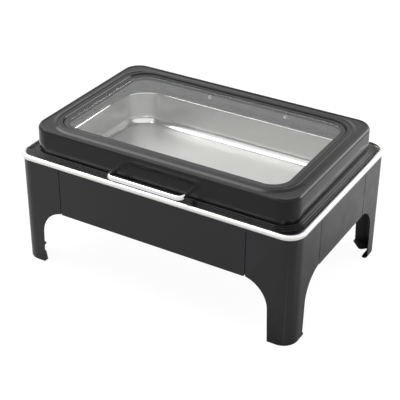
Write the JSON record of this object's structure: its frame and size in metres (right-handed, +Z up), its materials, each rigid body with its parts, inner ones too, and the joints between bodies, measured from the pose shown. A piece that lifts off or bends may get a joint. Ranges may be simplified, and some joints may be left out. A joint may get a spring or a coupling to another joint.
{
  "type": "chafing dish",
  "caption": "Buffet food warmer on legs: a water pan, a food pan and a windowed lid that swings up on hinges behind a rolled rim.",
  "frame": {"origin": "on the floor, under the middle of the whole dish from the handle's front to the hinges' back", "axes": "+Z up, +X along the long side to the viewer's right, -Y towards the front with the handle"},
  "size_m": [0.5598, 0.42, 0.2657],
  "materials": {
    "black_steel": "satin black coating",
    "black_lid": "gloss black coating",
    "bright_steel": "polished",
    "satin_steel": "satin",
    "hinge_steel": "satin",
    "zinc_steel": "plated",
    "chrome_bar": "polished",
    "black_rubber": "matt",
    "clear_glass": "clear, toughened"
  },
  "bodies": {
    "stand": {"leg_front_left": "black_steel", "leg_front_right": "black_steel", "leg_rear_left": "black_steel", "leg_rear_right": "black_steel", "panel_front": "black_steel", "panel_rear": "black_steel", "panel_left": "black_steel", "panel_right": "black_steel", "stand_nuts": "zinc_steel", "water_pan": "bright_steel", "hinge_bracket_left": "hinge_steel", "hinge_bracket_right": "hinge_steel", "hinge_pin_left": "zinc_steel", "hinge_pin_right": "zinc_steel", "bracket_bolts": "zinc_steel"},
    "food_pan": {"food_pan": "satin_steel"},
    "lid": {"lid_shell": "black_lid", "window_gasket": "black_rubber", "window_glass": "clear_glass", "lid_handle": "chrome_bar", "handle_bolts": "zinc_steel", "hinge_arm_left": "hinge_steel", "hinge_arm_right": "hinge_steel", "arm_bolts": "zinc_steel", "arm_cap_nuts": "chrome_bar"}
  },
  "joints": [
    {"name": "lid_hinge", "type": "hinge", "parent": "stand", "child": "lid", "pos_m": [0, 0.1995, 0.22], "axis": [-1, 0, 0], "range_deg": [0, 100]},
    {"name": "food_pan_lift", "type": "slide", "parent": "stand", "child": "food_pan", "axis": [0, 0, 1], "range_m": [0, 0.009]}
  ]
}
